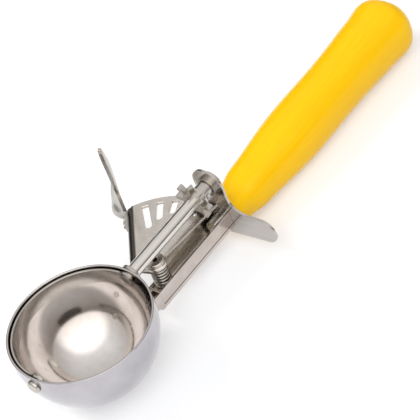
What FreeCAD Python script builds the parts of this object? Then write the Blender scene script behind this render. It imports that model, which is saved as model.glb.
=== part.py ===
import FreeCAD, Part
import math
import os
import re

import Sketcher
from FreeCAD import Placement, Rotation, Vector

# Lever ice cream scoop. Millimetres, +Z up.
# The origin is the centre of the bowl's sphere, on the axis of the spindle.
# +X runs along the spindle to the handle, +Y is the side of the thumb lever.

os.makedirs("parts", exist_ok=True)
doc = FreeCAD.newDocument("lever_scoop")

# Driving dimensions

SIZES = {
    # Bowl: a hemisphere with a short straight rim above it
    "bowl_radius": 27.25,
    "bowl_wall": 0.9,
    "rim_rise": 4.1,
    "rim_round": 0.35,
    # Clearances
    "running_gap": 0.05,
    "seat_gap": 0.05,
    "free_gap": 0.35,
    # Spindle and its bearings
    "spindle_radius": 2.65,
    "spindle_peen": 0.3,
    "spindle_past": 2.6,
    "bush_wall": 0.9,
    "bush_flange": 0.5,
    "bush_flange_length": 1.4,
    "bush_lip": 0.6,
    "clip_wall": 1.6,
    "clip_thickness": 1.0,
    # Lever pivot and pinion: the spindle turns gear_ratio times as far as the lever
    "pivot_reach": 12.55,
    "mesh_radius": 26.6,
    "gear_ratio": 4,
    "teeth": 8,
    "tooth_tip": 1.25,
    "tooth_foot": 2.35,
    "tooth_width": 1.3,
    "pinion_length": 2.4,
    "flange_gap": 0.4,
    "flange_thickness": 0.8,
    "hub_wall": 0.65,
    "hub_length": 4.8,
    "hub_gap": 0.4,
    "pin_radius": 0.8,
    "pin_past": 0.4,
    # Lever plate, a toothed fan with its left edge turned down
    "plate_thickness": 1.2,
    "plate_rise": 0.35,
    "fan_rim": 6.4,
    "left_angle": 41.5,
    "left_offset": 10.0,
    "right_angle": 5.4,
    "right_offset": 1.2,
    "back_angle": 24.5,
    "back_offset": 3.6,
    "plate_hub": 4.1,
    "stop_along": 3.4,
    "stop_length": 1.6,
    "stop_drop": 7.0,
    "slot_first": 1.2,
    "slot_width": 2.6,
    "slot_past": 3.7,
    "slot_before_1": 2.4,
    "slot_before_2": 2.4,
    "slot_before_3": 2.6,
    "slot_before_4": 5.0,
    "slot_before_5": 8.2,
    "lip_bend": 2.0,
    "lip_height": 5.0,
    "lip_start": -2.0,
    # Thumb tab, a twisted tongue that stands on the outer end of the lip
    "tab_thickness": 1.3,
    "tab_height": 22.3,
    "tab_foot": 7.0,
    "tab_reach": 8.8,
    "tab_flare": 5.0,
    "tab_rivet_radius": 0.9,
    "tab_rivet_head": 1.4,
    "tab_rivet_tail": 1.2,
    "tab_rivet_height": 0.6,
    "tab_rivet_outer": 2.2,
    "tab_rivet_inner": 5.2,
    "tab_rivet_low": 0.9,
    # Pivot post, its rolled head, and the return spring
    "post_radius": 2.0,
    "post_end": 0.2,
    "post_base_radius": 3.3,
    "post_bore": 1.1,
    "post_bore_depth": 5.0,
    "eyelet_radius": 3.6,
    "eyelet_height": 1.3,
    "eyelet_round": 0.55,
    "washer_thickness": 0.5,
    "wire": 1.0,
    "coil_radius": 2.95,
    "coil_pitch": 1.46,
    "coil_turns": 5,
    "upper_leg_angle": 200.0,
    "upper_leg_length": 7.8,
    "lower_leg_angle": 270.0,
    "lower_leg_length": 9.0,
    # Channel frame under the spindle, on the axis of the handle
    "channel_radius": 5.65,
    "channel_wall": 1.0,
    "channel_drop": 18.0,
    "channel_top": 12.3,
    "channel_reach": 4.95,
    "notch_reach": 2.7,
    "notch_depth": 18.4,
    "front_edge": 0.3,
    # Saddle that holds the bowl
    "saddle_thickness": 1.2,
    "saddle_width": 21.0,
    "saddle_top": 6.5,
    "saddle_bottom": 20.5,
    "neck_width": 4.6,
    "rivet_side": 7.6,
    "rivet_inset": 3.2,
    "rivet_radius": 1.1,
    "rivet_head": 1.6,
    "rivet_head_height": 0.6,
    # Guard and handle
    "guard_thickness": 1.0,
    "lobe_radius": 7.2,
    "seat_radius": 6.5,
    "wing_reach": 20.9,
    "wing_drop": 16.6,
    "wing_radius": 5.6,
    "wing_blend": 7.0,
    "handle_length": 116.5,
    "handle_front_radius": 8.0,
    "handle_mid_radius": 11.8,
    "handle_tail_radius": 13.4,
    "handle_front_round": 1.8,
    "handle_tail_round": 7.5,
    "handle_squareness": 2.35,
    "tang_radius": 3.0,
    "tang_inside": 5.5,
    "tang_reach": 83.0,
    "tang_chamfer": 1.0,
    # Scraper
    "scraper_thickness": 0.8,
    "scraper_width": 6.6,
    "eye_wall": 0.95,
    "stud_radius": 1.5,
    "stud_head": 0.9,
    "stud_head_height": 0.8,
    "stud_gap": 0.2,
    "button_radius": 2.6,
    "button_height": 1.3,
    "button_round": 0.9,
}

sheet = doc.addObject("Spreadsheet::Sheet", "Sizes")
for row, (alias, number) in enumerate(SIZES.items(), start=1):
    sheet.set(f"A{row}", alias)
    sheet.set(f"B{row}", str(number))
    sheet.setAlias(f"B{row}", alias)
doc.recompute()

# Places and radii that follow from the driving dimensions

DERIVED = {
    "pivot_x": "bowl_radius + pivot_reach",
    "channel_start": "bowl_radius + channel_reach",
    "notch_end": "pivot_x + notch_reach",
    "scraper_out": "bowl_radius - bowl_wall - free_gap",
    "scraper_in": "scraper_out - scraper_thickness",
    "scraper_eye": "spindle_radius + eye_wall",
    # The pinion rolls on the fan: its pitch radius is mesh_radius over gear_ratio
    "tooth_reach": "mesh_radius / gear_ratio + tooth_tip",
    "tooth_root": "mesh_radius / gear_ratio - tooth_foot",
    "plate_drop": "mesh_radius / gear_ratio - plate_rise",
    "plate_top": "plate_thickness / 2 - plate_drop",
    "plate_low": "0 - plate_drop - plate_thickness / 2",
    "flange_radius": "0 - plate_top - flange_gap",
    "hub_radius": "spindle_radius + hub_wall",
    "pinion_x": "pivot_x + mesh_radius - pinion_length / 2",
    "hub_start": "pinion_x + pinion_length + flange_thickness",
    "guard_x": "hub_start + hub_length + hub_gap + bush_flange_length",
    "clip_x": "guard_x + guard_thickness + bush_lip + free_gap",
    "spindle_end": "guard_x + guard_thickness + spindle_past",
    "handle_end": "guard_x + guard_thickness + handle_length",
    "tang_start": "guard_x - tang_inside",
    "tang_end": "guard_x + tang_reach",
    "fan_radius": "mesh_radius + fan_rim",
    "slot_outer": "mesh_radius + slot_past",
    "lip_end": "sqrt(fan_radius ^ 2 - left_offset ^ 2)",
    "rivet_drop": "plate_top - lip_height / 2 - tab_rivet_low",
    "coil_top": "plate_low - washer_thickness - seat_gap - wire",
    "coil_low": "coil_top - coil_pitch * (coil_turns + 0.25)",
    "base_top": "coil_low - wire",
    "channel_bore": "channel_radius - channel_wall",
    "channel_floor": "0 - channel_bore - channel_drop",
    "base_rise": "channel_bore - sqrt(channel_bore ^ 2 - (post_base_radius + seat_gap) ^ 2)",
}

ALIASES = re.compile(r"\b(" + "|".join(sorted([*SIZES, *DERIVED], key=len, reverse=True)) + r")\b")
NODES = {}


def formula(text):
    """The same formula with every name looked up in the sheet or among the places."""
    return ALIASES.sub(lambda found: ("Sizes." if found[1] in SIZES else "Places.") + found[1], text)


places = doc.addObject("App::VarSet", "Places")
for name, text in DERIVED.items():
    places.addProperty("App::PropertyFloat", name, "Places")
    places.setExpression(name, formula(text))
doc.recompute()


def size(text):
    """The present value of a formula of names, for shapes that are computed here."""
    values = {alias: float(getattr(sheet, alias)) for alias in SIZES}
    values.update({name: float(getattr(places, name)) for name in DERIVED})
    total = 0.0
    for sign, term in re.findall(r"([+-]?)\s*([a-z_0-9.]+(?:\s*[*/]\s*[a-z_0-9.]+)*)", text):
        product = 1.0
        for step, factor in re.findall(r"([*/]?)\s*([a-z_0-9.]+)", term):
            number = values[factor] if factor in values else float(factor)
            product = product / number if step == "/" else product * number
        total += -product if sign == "-" else product
    return total


def bind(item, **formulas):
    """Tie properties to formulas; a double underscore stands for a dot."""
    for name, text in formulas.items():
        item.setExpression(name.replace("__", "."), formula(text))
    return item


def place(item, x="0", y="0", z="0", turn=None):
    """Tie an item's position to formulas, and its turn about +Z."""
    if turn is not None:
        item.Placement = Placement(Vector(), Rotation(Vector(0, 0, 1), 10))
        bind(item, Placement__Rotation__Angle=turn)
    return bind(item, Placement__Base__x=x, Placement__Base__y=y, Placement__Base__z=z)


def box(name, length, width, height, x="0", y="0", z="0"):
    item = doc.addObject("Part::Box", name)
    bind(item, Length=length, Width=width, Height=height)
    return place(item, x, y, z)


def post(name, radius, height, x="0", y="0", z="0"):
    """A cylinder that stands along +Z."""
    item = doc.addObject("Part::Cylinder", name)
    bind(item, Radius=radius, Height=height)
    return place(item, x, y, z)


def rod(name, radius, length, x="0", y="0", z="0"):
    """A cylinder that lies along +X."""
    item = doc.addObject("Part::Cylinder", name)
    item.Placement = Placement(Vector(), Rotation(Vector(0, 1, 0), 90))
    bind(item, Radius=radius, Height=length)
    return place(item, x, y, z)


def ball(name, radius, x="0", y="0", z="0"):
    item = doc.addObject("Part::Sphere", name)
    bind(item, Radius=radius)
    return place(item, x, y, z)


def fuse(name, *items):
    item = doc.addObject("Part::MultiFuse", name)
    item.Shapes = list(items)
    return item


def common(name, *items):
    item = doc.addObject("Part::MultiCommon", name)
    item.Shapes = list(items)
    return item


def cut(name, base, *tools):
    item = doc.addObject("Part::Cut", name)
    item.Base = base
    item.Tool = tools[0] if len(tools) == 1 else fuse(name + "_tools", *tools)
    return item


def shaped(name, shape, placement=None):
    """A piece whose surface is computed from the sheet's values."""
    item = doc.addObject("Part::Feature", name)
    item.Shape = shape
    if placement is not None:
        item.Placement = placement
    return item


def node(name, item):
    """Name a finished piece; the name is also its file's."""
    item.Label = name
    NODES[name] = item
    return item


def origin_plane(body, role):
    return next(f for f in body.Origin.OriginFeatures if f.Role == role)


def attach(body, name, role):
    sketch = body.newObject("Sketcher::SketchObject", name)
    sketch.AttachmentSupport = [(origin_plane(body, role), "")]
    sketch.MapMode = "FlatFace"
    return sketch


def constrain(sketch, alias_formula, *arguments):
    """Add a dimension to a sketch and tie it to a formula."""
    index = sketch.addConstraint(Sketcher.Constraint(*arguments))
    sketch.setExpression(f"Constraints[{index}]", formula(alias_formula))


# Bowl: a revolved shell with holes for the spindle, the tip stud and four rivets

UP = Vector(0, 0, 1)
# Each rivet's side and its drop below the spindle, in the saddle's corners
RIVET_SPOTS = [
    (side, drop)
    for drop in ("saddle_top + rivet_inset", "saddle_bottom - rivet_inset")
    for side in (1, -1)
]


def rivet_direction(side, drop):
    """Unit direction from the bowl's centre to a rivet in the bowl's wall."""
    radius = size("bowl_radius")
    across = side * size("rivet_side")
    down = size(drop)
    ahead = math.sqrt(radius ** 2 - across ** 2 - down ** 2)
    return Vector(ahead, across, -down) / radius


def rivet_rod(name, radius, start, length, direction):
    """A cylinder that points away from the bowl's centre."""
    item = doc.addObject("Part::Cylinder", name)
    bind(item, Radius=radius, Height=length)
    turn = Rotation(UP, direction)
    item.Placement = Placement(direction * size(start), turn)
    for axis in "xyz":
        part = getattr(direction, axis)
        item.setExpression(f"Placement.Base.{axis}", formula(f"({start}) * {part:.6f}"))
    return item


def make_bowl():
    body = doc.addObject("PartDesign::Body", "BowlBody")
    sketch = attach(body, "BowlProfile", "XZ_Plane")
    outer = size("bowl_radius")
    inner = size("bowl_radius - bowl_wall")
    rise = size("rim_rise")
    quarter = -math.pi / 2
    sketch.addGeometry(Part.ArcOfCircle(Part.Circle(Vector(), UP, outer), quarter, 0))
    sketch.addGeometry(Part.LineSegment(Vector(outer, 0, 0), Vector(outer, rise, 0)))
    sketch.addGeometry(Part.LineSegment(Vector(outer, rise, 0), Vector(inner, rise, 0)))
    sketch.addGeometry(Part.LineSegment(Vector(inner, rise, 0), Vector(inner, 0, 0)))
    sketch.addGeometry(Part.ArcOfCircle(Part.Circle(Vector(), UP, inner), quarter, 0))
    sketch.addGeometry(Part.LineSegment(Vector(0, -inner, 0), Vector(0, -outer, 0)))
    for pair in ((0, 2, 1, 1), (1, 2, 2, 1), (2, 2, 3, 1), (3, 2, 4, 2), (4, 1, 5, 1), (5, 2, 0, 1)):
        sketch.addConstraint(Sketcher.Constraint("Coincident", *pair))
    for arc in (0, 4):
        sketch.addConstraint(Sketcher.Constraint("Coincident", arc, 3, -1, 1))
    sketch.addConstraint(Sketcher.Constraint("Vertical", 1))
    sketch.addConstraint(Sketcher.Constraint("Horizontal", 2))
    sketch.addConstraint(Sketcher.Constraint("Vertical", 3))
    sketch.addConstraint(Sketcher.Constraint("PointOnObject", 5, 1, -2))
    sketch.addConstraint(Sketcher.Constraint("PointOnObject", 5, 2, -2))
    sketch.addConstraint(Sketcher.Constraint("PointOnObject", 1, 1, -1))
    sketch.addConstraint(Sketcher.Constraint("PointOnObject", 3, 2, -1))
    constrain(sketch, "bowl_radius", "Radius", 0, outer)
    constrain(sketch, "bowl_radius - bowl_wall", "Radius", 4, inner)
    constrain(sketch, "rim_rise", "DistanceY", 1, 1, 1, 2, rise)
    spin = body.newObject("PartDesign::Revolution", "BowlShell")
    spin.Profile = sketch
    spin.ReferenceAxis = (sketch, ["V_Axis"])
    spin.Angle = 360
    doc.recompute()
    rim_edges = [
        f"Edge{number}"
        for number, edge in enumerate(spin.Shape.Edges, start=1)
        if edge.BoundBox.ZMin > rise - 1e-4
    ]
    soft = body.newObject("PartDesign::Fillet", "RimRound")
    soft.Base = (spin, rim_edges)
    bind(soft, Radius="rim_round")
    through = "4 * bowl_wall"
    holes = [
        rod(
            "SpindleHole", "spindle_radius + bush_wall + seat_gap",
            through, "bowl_radius - 3 * bowl_wall",
        ),
        rod("StudHole", "stud_radius + seat_gap", through, "0 - bowl_radius - bowl_wall"),
    ]
    for number, spot in enumerate(RIVET_SPOTS, start=1):
        direction = rivet_direction(*spot)
        name = f"RivetHole{number}"
        start = "bowl_radius - 2 * bowl_wall"
        holes.append(rivet_rod(name, "rivet_radius + seat_gap", start, through, direction))
    return cut("Bowl", body, *holes)


node("bowl", make_bowl())


# Bearing bushes: a sleeve through the wall with a flange outside it

def bush(name, start, barrel, flange_start, flange_length):
    outer = "spindle_radius + bush_wall"
    sleeve = rod(name + "Sleeve", outer, barrel, start)
    flange = rod(name + "Flange", f"{outer} + bush_flange", flange_length, flange_start)
    bore = rod(
        name + "Bore", "spindle_radius + running_gap",
        f"{barrel} + 2 * bush_flange_length", f"{start} - bush_flange_length",
    )
    return cut(name, fuse(name + "Solid", sleeve, flange), bore)


node("bowl_bush", bush(
    "BowlBush",
    "bowl_radius - bowl_wall",
    "bowl_wall + bush_flange_length",
    "bowl_radius + seat_gap",
    "bush_flange_length",
))
node("guard_bush", bush(
    "GuardBush",
    "guard_x - bush_flange_length",
    "guard_thickness + bush_flange_length + bush_lip",
    "guard_x - bush_flange_length",
    "bush_flange_length",
))


# Saddle on the back of the bowl, with a folded neck that reaches the channel

def make_saddle():
    shell = cut(
        "SaddleShell",
        ball("SaddleOuter", "bowl_radius + seat_gap + saddle_thickness"),
        ball("SaddleInner", "bowl_radius + seat_gap"),
    )
    patch = common("SaddlePatch", shell, box(
        "SaddleWindow", "bowl_radius * 2", "saddle_width", "saddle_bottom - saddle_top",
        "bowl_radius / 4", "0 - saddle_width / 2", "0 - saddle_bottom",
    ))
    neck = box(
        "NeckOuter", "channel_start - bowl_radius / 2", "neck_width", "notch_depth - channel_top",
        "bowl_radius / 2", "0 - channel_radius", "0 - notch_depth",
    )
    hollow = box(
        "NeckHollow", "channel_start", "neck_width - 2 * channel_wall", "notch_depth",
        "0", "0 - channel_radius + channel_wall", "channel_wall - notch_depth",
    )
    bowl_space = ball("NeckBowlSpace", "bowl_radius + seat_gap")
    folded = cut("Neck", neck, hollow, bowl_space)
    holes = [
        rivet_rod(
            f"SaddleHole{number}", "rivet_radius + seat_gap",
            "bowl_radius - saddle_thickness", "4 * saddle_thickness", rivet_direction(*spot),
        )
        for number, spot in enumerate(RIVET_SPOTS, start=1)
    ]
    return cut("Saddle", fuse("SaddleSolid", patch, folded), *holes)


node("bowl_saddle", make_saddle())


def make_saddle_rivets():
    """Flush inside the bowl, domed outside the saddle."""
    rivets = []
    outside = "bowl_radius + 2 * seat_gap + saddle_thickness"
    for number, spot in enumerate(RIVET_SPOTS, start=1):
        direction = rivet_direction(*spot)
        shank = rivet_rod(
            f"RivetShank{number}", "rivet_radius", "bowl_radius - 2 * bowl_wall",
            "2 * bowl_wall + saddle_thickness + rivet_head_height", direction,
        )
        head = rivet_rod(
            f"RivetHead{number}", "rivet_head", outside, "rivet_head_height", direction,
        )
        rivets.append(fuse(f"Rivet{number}", shank, head))
    joined = fuse("Rivets", *rivets)
    return cut("SaddleRivets", joined, ball("RivetFlush", "bowl_radius - bowl_wall"))


node("saddle_rivets", make_saddle_rivets())


# Channel frame: a trough with a rounded floor, open at the top

def channel_solid(name, radius, start, length, top):
    half_round = rod(name + "Round", radius, length, start, "0", "0 - channel_drop")
    walls = box(
        name + "Walls", length, f"2 * ({radius})", f"channel_drop - ({top})",
        start, f"0 - ({radius})", "0 - channel_drop",
    )
    return fuse(name + "Solid", half_round, walls)


def make_channel():
    length = "guard_x - channel_start"
    outer = channel_solid("ChannelOuter", "channel_radius", "channel_start", length, "channel_top")
    inner = channel_solid(
        "ChannelInner", "channel_radius - channel_wall",
        "channel_start + channel_wall", length, "channel_top - channel_wall",
    )
    left_notch = box(
        "LeftNotch", "notch_end - channel_start + channel_wall", "2 * channel_radius", "notch_depth",
        "channel_start - channel_wall", "front_edge", "0 - notch_depth",
    )
    low_notch = box(
        "LowNotch", "2 * channel_wall", "2 * channel_radius", "2 * channel_radius",
        "channel_start - channel_wall", "front_edge", "0 - channel_drop - 2 * channel_radius",
    )
    hole = post(
        "ChannelPostHole", "post_radius + seat_gap", "2 * channel_radius",
        "pivot_x", "0", "0 - channel_drop - 2 * channel_radius",
    )
    return cut("Channel", outer, inner, left_notch, low_notch, hole)


node("channel_frame", make_channel())


# Guard plate: lobe round the spindle, seat on the handle and one wing at the right

def hull(first, second):
    """Outline of two circles, given as (y, z, radius), joined by their outer tangents."""
    y1, z1, r1 = first
    y2, z2, r2 = second
    gap = math.hypot(y2 - y1, z2 - z1)
    heading = math.atan2(z2 - z1, y2 - y1)
    spread = math.acos((r1 - r2) / gap)

    def at(circle, angle):
        y, z, radius = circle
        return Vector(0, y + radius * math.cos(angle), z + radius * math.sin(angle))

    left = heading + spread
    right = heading - spread
    near = [at(first, left), at(first, heading + math.pi), at(first, right)]
    far = [at(second, right), at(second, heading), at(second, left)]
    edges = [
        Part.Arc(*near).toShape(),
        Part.LineSegment(near[2], far[0]).toShape(),
        Part.Arc(*far).toShape(),
        Part.LineSegment(far[2], near[0]).toShape(),
    ]
    return Part.Face(Part.Wire(edges))


def make_guard():
    thickness = Vector(size("guard_thickness"), 0, 0)
    lobe = (0.0, 0.0, size("lobe_radius"))
    seat = (0.0, -size("channel_drop"), size("seat_radius"))
    tip = (-size("wing_reach"), -size("wing_drop"), size("wing_radius"))
    tower = hull(lobe, seat).extrude(thickness)
    wing = hull(seat, tip).extrude(thickness)
    plate = tower.fuse(wing).removeSplitter()
    corner = [
        edge for edge in plate.Edges
        if edge.BoundBox.XLength > thickness.x * 0.9
        and -size("wing_reach") < edge.BoundBox.YMin < -size("lobe_radius") * 0.8
        and -size("wing_drop") < edge.BoundBox.ZMin < 0
    ]
    plate = plate.makeFillet(size("wing_blend"), corner)
    blank = shaped("GuardBlank", plate, Placement(Vector(size("guard_x"), 0, 0), Rotation()))
    bind(blank, Placement__Base__x="guard_x")
    through = "3 * guard_thickness"
    before = "guard_x - guard_thickness"
    bush_hole = rod("GuardBushHole", "spindle_radius + bush_wall + seat_gap", through, before)
    tang_hole = rod("GuardTangHole", "tang_radius + seat_gap", through, before, "0", "0 - channel_drop")
    return cut("Guard", blank, bush_hole, tang_hole)


node("guard_plate", make_guard())


# Handle grip: rounded sections along the axis, with a bore for the tang

def grip_section(x, radius):
    """A closed curve between a circle and a square, across the handle's axis."""
    power = 2.0 / size("handle_squareness")
    flat = 2.0 ** (power / 2.0 - 0.5)
    points = []
    steps = 32
    for step in range(steps):
        angle = 2 * math.pi * step / steps
        side = math.copysign(abs(math.cos(angle)) ** power, math.cos(angle))
        rise = math.copysign(abs(math.sin(angle)) ** power, math.sin(angle))
        points.append(Vector(x, radius * flat * side, radius * flat * rise - size("channel_drop")))
    curve = Part.BSplineCurve()
    curve.interpolate(points, PeriodicFlag=True)
    return Part.Wire([curve.toShape()])


def make_grip():
    start = size("guard_x + guard_thickness")
    end = size("handle_end")
    front = size("handle_front_radius")
    middle = size("handle_mid_radius")
    tail = size("handle_tail_radius")
    round_front = size("handle_front_round")
    round_tail = size("handle_tail_round")
    long = end - start
    stations = [
        (start, front - round_front),
        (start + 0.3 * round_front, front - 0.35 * round_front),
        (start + round_front, front),
        (start + 0.09 * long, front + 0.06 * (middle - front)),
        (start + 0.22 * long, front + 0.58 * (middle - front)),
        (start + 0.36 * long, front + 0.96 * (middle - front)),
        (start + 0.55 * long, middle),
        (start + 0.8 * long, middle + 0.42 * (tail - middle)),
        (end - round_tail, tail),
    ]
    for share in (30, 55, 75):
        turn = math.radians(share)
        out = end - round_tail + round_tail * math.sin(turn)
        stations.append((out, tail - round_tail * (1 - math.cos(turn))))
    solid = Part.makeLoft([grip_section(*station) for station in stations], True)
    grip = shaped("GripSolid", solid)
    bore = rod(
        "GripBore", "tang_radius + seat_gap", "tang_end - guard_x + free_gap",
        "guard_x", "0", "0 - channel_drop",
    )
    return cut("Grip", grip, bore)


node("handle_grip", make_grip())


# Tang: a round bar from inside the channel into the handle

def make_tang():
    bar = rod("TangBar", "tang_radius", "tang_end - tang_start", "tang_start", "0", "0 - channel_drop")
    nose = doc.addObject("Part::Chamfer", "TangNose")
    doc.recompute()
    nose.Base = bar
    bevel = size("tang_chamfer")
    nose.Edges = [(1, bevel, bevel), (3, bevel, bevel)]
    pads = box(
        "TangPad", "tang_inside - 2 * tang_chamfer", "2 * tang_radius - 2 * tang_chamfer", "channel_bore",
        "tang_start + tang_chamfer", "tang_chamfer - tang_radius", "channel_floor",
    )
    round_floor = rod(
        "TangFloor", "channel_bore - seat_gap", "tang_inside", "tang_start", "0", "0 - channel_drop",
    )
    return fuse("Tang", nose, common("TangSeat", pads, round_floor))


node("handle_tang", make_tang())


# Pivot: a stepped post riveted through the channel, a rolled head and a washer


def make_post():
    shank = post(
        "PostShank", "post_radius",
        "plate_top + eyelet_height - channel_floor + channel_wall + post_end",
        "pivot_x", "0", "channel_floor - channel_wall - post_end",
    )
    base = post(
        "PostBase", "post_base_radius", "base_top - channel_floor - base_rise",
        "pivot_x", "0", "channel_floor + base_rise",
    )
    bore = post(
        "PostBore", "post_bore", "2 * post_bore_depth",
        "pivot_x", "0", "plate_top + eyelet_height - post_bore_depth",
    )
    return cut("PivotPost", fuse("PostSolid", shank, base), bore)


node("pivot_post", make_post())


def ring(name, outer, inner, height, z):
    """A flat ring round the pivot."""
    return cut(
        name,
        post(name + "Outer", outer, height, "pivot_x", "0", z),
        post(name + "Inner", inner, f"3 * {height}", "pivot_x", "0", f"{z} - {height}"),
    )


def make_eyelet():
    collar = ring(
        "EyeletCollar", "eyelet_radius", "post_radius + seat_gap",
        "eyelet_height", "plate_top + running_gap",
    )
    doc.recompute()
    soft = doc.addObject("Part::Fillet", "EyeletRoll")
    soft.Base = collar
    top = size("plate_top + running_gap + eyelet_height")
    soft.Edges = [
        (number, size("eyelet_round"), size("eyelet_round"))
        for number, edge in enumerate(collar.Shape.Edges, start=1)
        if edge.BoundBox.ZMin > top - 1e-4 and edge.BoundBox.XLength > 2 * size("post_radius") + 1
    ]
    return soft


node("pivot_eyelet", make_eyelet())
node("pivot_washer", ring(
    "Washer", "eyelet_radius", "post_radius + seat_gap", "washer_thickness",
    "plate_low - washer_thickness - running_gap",
))


# Return spring: close turns round the post, and two straight legs

def half_arc(start, tangent, end):
    """The arc that leaves start along tangent and reaches end."""
    chord = end - start
    side = chord - tangent * chord.dot(tangent)
    side.normalize()
    radius = chord.dot(chord) / (2 * chord.dot(side))
    centre = start + side * radius
    middle = (start - centre) + (end - centre)
    middle.normalize()
    return Part.Arc(start, centre + middle * radius, end).toShape()


def biarc(start, start_tangent, end, end_tangent):
    """Two arcs that join two points with their tangents kept."""
    chord = end - start
    both = start_tangent + end_tangent
    spread = 2 * (1 - start_tangent.dot(end_tangent))
    along = chord.dot(both)
    reach = (-along + math.sqrt(along ** 2 + spread * chord.dot(chord))) / spread
    joint = (start + end + (start_tangent - end_tangent) * reach) * 0.5
    joint_tangent = joint - start - start_tangent * reach
    joint_tangent.normalize()
    return [half_arc(start, start_tangent, joint), half_arc(joint, joint_tangent, end)]


def make_spring():
    radius = size("coil_radius")
    pitch = size("coil_pitch")
    wire = size("wire")
    first = math.radians(size("upper_leg_angle"))
    last = math.radians(size("lower_leg_angle")) + 2 * math.pi * size("coil_turns")
    sweep = last - first
    steps = math.ceil(sweep / (math.pi / 2))
    top = size("coil_top")
    slope = -pitch / (2 * math.pi)

    def point(angle):
        height = top + slope * (angle - first)
        return Vector(size("pivot_x") + radius * math.cos(angle), radius * math.sin(angle), height)

    def tangent(angle):
        along = Vector(-radius * math.sin(angle), radius * math.cos(angle), slope)
        return along.normalize()

    start = point(first) - tangent(first) * size("upper_leg_length")
    end = point(last) + tangent(last) * size("lower_leg_length")
    edges = [Part.LineSegment(start, point(first)).toShape()]
    for step in range(steps):
        near = first + sweep * step / steps
        far = first + sweep * (step + 1) / steps
        edges += biarc(point(near), tangent(near), point(far), tangent(far))
    edges.append(Part.LineSegment(point(last), end).toShape())
    path = Part.Wire(edges)
    section = Part.Wire([Part.Circle(start, tangent(first), wire / 2).toShape()])
    tube = path.makePipeShell([section], True, False)
    gap = spring_gap(point, first, last, wire)
    print(f"torsion spring: least gap between turns {gap:.2f} mm")
    print(f"torsion spring: volume {tube.Volume:.1f}, section times length {section_volume(path, wire):.1f}")
    return shaped("Spring", tube)


def section_volume(path, wire):
    return math.pi * wire ** 2 / 4 * path.Length


def spring_gap(point, first, last, wire):
    """Least distance between neighbouring turns, less the wire."""
    turn = 2 * math.pi
    samples = [first + turn * step / 48 for step in range(int((last - first) / turn * 48))]
    least = min(
        (point(angle) - point(other)).Length
        for angle in samples
        for other in samples
        if abs(other - angle) > turn * 0.6
    )
    return least - wire


node("torsion_spring", make_spring())


# Lever plate: a fan about the pivot with five radial slots and a turned-down lip

LEVER = Placement(Vector(size("pivot_x"), 0, 0), Rotation(UP, size("left_angle")))


def make_fan():
    """Flat plate: an outer arc and three straight edges, each at its distance from the pivot."""
    body = doc.addObject("PartDesign::Body", "FanBody")
    sketch = attach(body, "FanOutline", "XY_Plane")
    pivot = Vector(size("pivot_x"), 0, 0)
    radius = size("fan_radius")

    def edge_point(angle, offset, along):
        """A point beside the pivot: offset to the left of a heading, along it."""
        heading = math.radians(angle)
        ahead = Vector(math.cos(heading), math.sin(heading), 0)
        aside = Vector(-math.sin(heading), math.cos(heading), 0)
        return pivot + ahead * along + aside * offset

    left = size("left_offset - lip_bend")
    right = -size("right_offset")
    back = size("back_offset")
    left_far = edge_point(size("left_angle"), left, math.sqrt(radius ** 2 - left ** 2))
    right_far = edge_point(-size("right_angle"), right, math.sqrt(radius ** 2 - right ** 2))
    left_near = edge_point(size("left_angle"), left, -back)
    right_near = edge_point(-size("right_angle"), right, -back)
    middle = (left_far - pivot) + (right_far - pivot)
    middle.normalize()
    arc = Part.Arc(right_far, pivot + middle * radius, left_far)
    sketch.addGeometry(arc)
    sketch.addGeometry(Part.LineSegment(left_near, left_far))
    sketch.addGeometry(Part.LineSegment(right_near, left_near))
    sketch.addGeometry(Part.LineSegment(right_near, right_far))
    sketch.addGeometry(Part.Point(pivot), True)
    for pair in ((0, 2, 1, 2), (1, 1, 2, 2), (2, 1, 3, 1), (3, 2, 0, 1), (0, 3, 4, 1)):
        sketch.addConstraint(Sketcher.Constraint("Coincident", *pair))
    sketch.addConstraint(Sketcher.Constraint("PointOnObject", 4, 1, -1))
    constrain(sketch, "pivot_x", "DistanceX", -1, 1, 4, 1, pivot.x)
    constrain(sketch, "fan_radius", "Radius", 0, radius)
    constrain(sketch, "left_offset - lip_bend", "Distance", 4, 1, 1, left)
    constrain(sketch, "back_offset", "Distance", 4, 1, 2, back)
    constrain(sketch, "right_offset", "Distance", 4, 1, 3, -right)
    for line, heading in ((1, "left_angle"), (2, "back_angle + 90"), (3, "0 - right_angle")):
        constrain(sketch, f"({heading}) * 1 deg", "Angle", line, math.radians(size(heading)))
    pad = body.newObject("PartDesign::Pad", "FanPlate")
    pad.Profile = sketch
    pad.Midplane = True
    bind(pad, Length="plate_thickness")
    place(body, z="0 - plate_drop")
    return body


def make_slots():
    """Slots a tooth's angle over the ratio apart, round at the pivot end."""
    slots = []
    for number in range(1, 6):
        inner = f"mesh_radius - slot_before_{number}"
        length = f"slot_outer - ({inner}) - slot_width / 2"
        nose_x = f"{inner} + slot_width / 2"
        deep = "4 * plate_thickness"
        low = "plate_low - plate_thickness"
        bar = box(f"SlotBar{number}", length, "slot_width", deep, nose_x, "0 - slot_width / 2", low)
        nose = post(f"SlotNose{number}", "slot_width / 2", deep, nose_x, "0", low)
        slot = fuse(f"Slot{number}", bar, nose)
        place(slot, "pivot_x", turn=f"slot_first + {number - 1} * 360 / teeth / gear_ratio")
        slots.append(slot)
    return slots


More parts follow.
